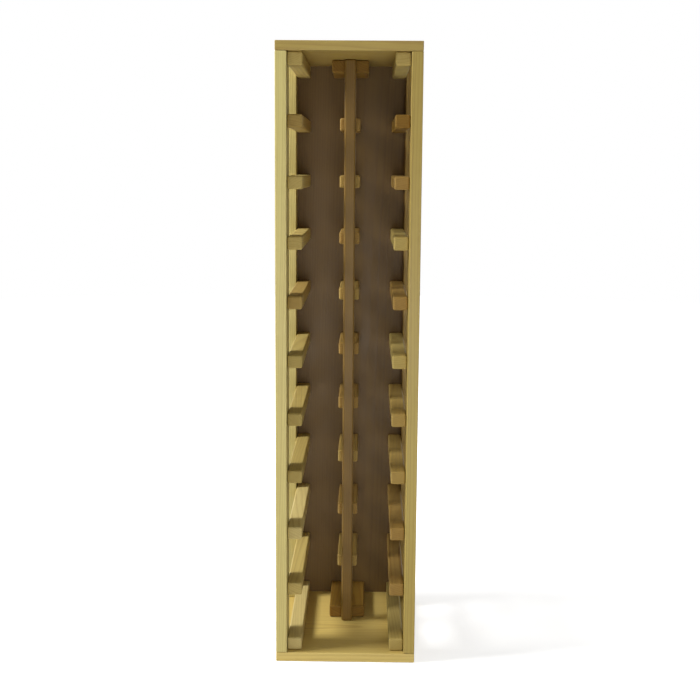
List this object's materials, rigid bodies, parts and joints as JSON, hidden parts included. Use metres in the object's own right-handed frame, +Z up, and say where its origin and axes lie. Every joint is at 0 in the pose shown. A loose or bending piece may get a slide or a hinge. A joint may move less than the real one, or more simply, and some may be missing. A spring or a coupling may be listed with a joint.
{
  "type": "wine rack",
  "caption": "Tall narrow free-standing wine rack in varnished pine: open side frames of stiles and runners, a closed back, and two columns of bottle bays.",
  "frame": {"origin": "middle of the footprint on the floor", "axes": "+Z up, the open front faces -Y, +X to the right of someone facing the front"},
  "size_m": [0.24, 0.32, 1.05],
  "materials": {
    "board_pine": "satin varnish on planed pine",
    "runner_pine": "satin varnish on planed pine bars, end grain at the front",
    "post_pine": "satin varnish on planed pine",
    "panel_wood": "thin varnish on a pine-faced board",
    "zinc_steel": "zinc plated"
  },
  "bodies": {
    "root": {"front_stile_left": "board_pine", "front_stile_right": "board_pine", "rear_stile_left": "board_pine", "rear_stile_right": "board_pine", "top_board": "board_pine", "bottom_board": "board_pine", "back_panel": "panel_wood", "left_runner_01": "runner_pine", "left_runner_02": "runner_pine", "left_runner_03": "runner_pine", "left_runner_04": "runner_pine", "left_runner_05": "runner_pine", "left_runner_06": "runner_pine", "left_runner_07": "runner_pine", "left_runner_08": "runner_pine", "left_runner_09": "runner_pine", "left_runner_10": "runner_pine", "left_runner_11": "runner_pine", "right_runner_01": "runner_pine", "right_runner_02": "runner_pine", "right_runner_03": "runner_pine", "right_runner_04": "runner_pine", "right_runner_05": "runner_pine", "right_runner_06": "runner_pine", "right_runner_07": "runner_pine", "right_runner_08": "runner_pine", "right_runner_09": "runner_pine", "right_runner_10": "runner_pine", "right_runner_11": "runner_pine", "centre_post": "post_pine", "top_centre_block": "runner_pine", "centre_runner_02": "runner_pine", "centre_runner_03": "runner_pine", "centre_runner_04": "runner_pine", "centre_runner_05": "runner_pine", "centre_runner_06": "runner_pine", "centre_runner_07": "runner_pine", "centre_runner_08": "runner_pine", "centre_runner_09": "runner_pine", "centre_runner_10": "runner_pine", "bottom_centre_block": "runner_pine", "top_screw_front_left": "zinc_steel", "top_screw_front_right": "zinc_steel", "top_screw_rear_left": "zinc_steel", "top_screw_rear_right": "zinc_steel", "bottom_screw_front_left": "zinc_steel", "bottom_screw_front_right": "zinc_steel", "bottom_screw_rear_left": "zinc_steel", "bottom_screw_rear_right": "zinc_steel", "panel_pin_left_1": "zinc_steel", "panel_pin_left_2": "zinc_steel", "panel_pin_left_3": "zinc_steel", "panel_pin_right_1": "zinc_steel", "panel_pin_right_2": "zinc_steel", "panel_pin_right_3": "zinc_steel", "panel_pin_top_left": "zinc_steel", "panel_pin_top_right": "zinc_steel", "panel_pin_bottom_left": "zinc_steel", "panel_pin_bottom_right": "zinc_steel"}
  },
  "joints": []
}
